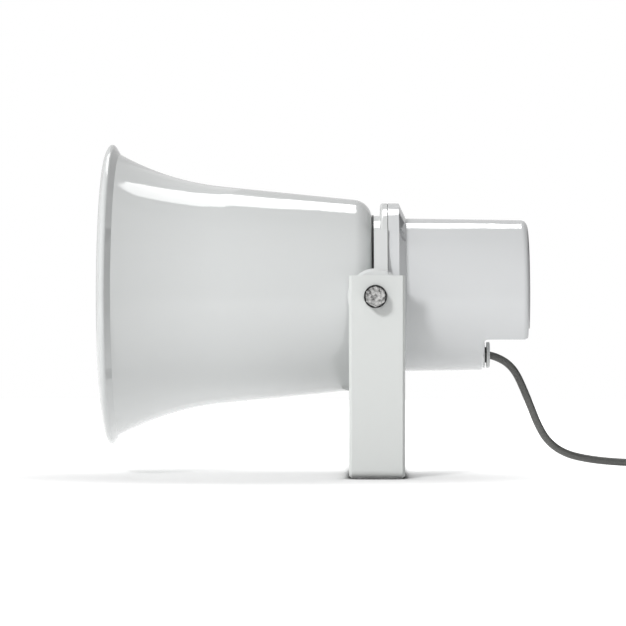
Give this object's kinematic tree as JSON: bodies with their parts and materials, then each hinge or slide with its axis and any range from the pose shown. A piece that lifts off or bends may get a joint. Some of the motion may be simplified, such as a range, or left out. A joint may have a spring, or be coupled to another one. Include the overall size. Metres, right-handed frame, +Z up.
{
  "type": "horn speaker",
  "caption": "Round folded horn loudspeaker with a flared bell and domed reflector, a sealed driver case behind it, a tilting U-bracket and a grey cable that leaves through a gland.",
  "frame": {"origin": "on the floor under the pivot axis, in the underside of the bracket's base", "axes": "+Z up; X along the horn with the mouth towards -X; Y along the pivot axis"},
  "size_m": [0.4896, 0.275, 0.2406],
  "materials": {
    "bell_plastic": "glossy light grey moulding",
    "reflector_plastic": "glossy light grey moulding",
    "base_plastic": "glossy light grey moulding",
    "case_plastic": "glossy light grey moulding",
    "gland_plastic": "satin light grey moulding",
    "bracket_paint": "light grey paint on steel strip",
    "bolt_steel": "zinc plated steel",
    "screw_steel": "zinc plated steel",
    "black_steel": "blackened steel",
    "insert_brass": "turned brass",
    "seal_rubber": "black rubber",
    "driver_plastic": "black moulding",
    "diaphragm_film": "amber film",
    "winding_copper": "enamelled copper wire",
    "plate_steel": "zinc plated steel",
    "magnet_ferrite": "ground ferrite",
    "core_steel": "laminated steel",
    "cable_grey": "grey cable jacket",
    "core_insulation": "coloured insulation",
    "core_copper": "bare copper strands",
    "tie_plastic": "black cable tie"
  },
  "bodies": {
    "horn": {"horn_bell": "bell_plastic", "reflector": "reflector_plastic", "throat_tube": "reflector_plastic", "horn_base": "base_plastic", "pivot_inserts": "insert_brass", "pivot_bolts": "bolt_steel", "spring_washers": "bolt_steel", "flat_washers": "black_steel", "bell_screws": "screw_steel", "driver_screws": "screw_steel", "case_screws": "black_steel", "case_gasket": "seal_rubber", "rear_case": "case_plastic", "driver_cover": "driver_plastic", "phase_plug": "driver_plastic", "top_plate": "plate_steel", "magnet": "magnet_ferrite", "pole_yoke": "plate_steel", "transformer_core": "core_steel", "transformer_winding": "winding_copper", "transformer_frame": "plate_steel", "frame_screws": "screw_steel", "terminal_block": "driver_plastic", "terminal_screws": "insert_brass", "gland_base": "gland_plastic", "gland_seal": "seal_rubber", "gland_cap": "gland_plastic", "gland_nut": "gland_plastic", "cable_tail": "cable_grey", "cable_run": "cable_grey", "cable_coil": "cable_grey", "cable_end": "cable_grey", "cable_cores": "core_insulation", "core_tips": "core_copper", "coil_tie": "tie_plastic"},
    "bracket": {"bracket": "bracket_paint"},
    "diaphragm": {"diaphragm": "diaphragm_film", "voice_coil": "winding_copper"}
  },
  "joints": [
    {"name": "bracket_tilt", "type": "hinge", "parent": "horn", "child": "bracket", "pos_m": [0, 0, 0.13], "axis": [0, 1, 0], "range_deg": [-38, 38]},
    {"name": "diaphragm_travel", "type": "slide", "parent": "horn", "child": "diaphragm", "axis": [1, 0, 0], "range_m": [-0.0004, 0.0004], "stiffness_N_per_m": 2000}
  ]
}
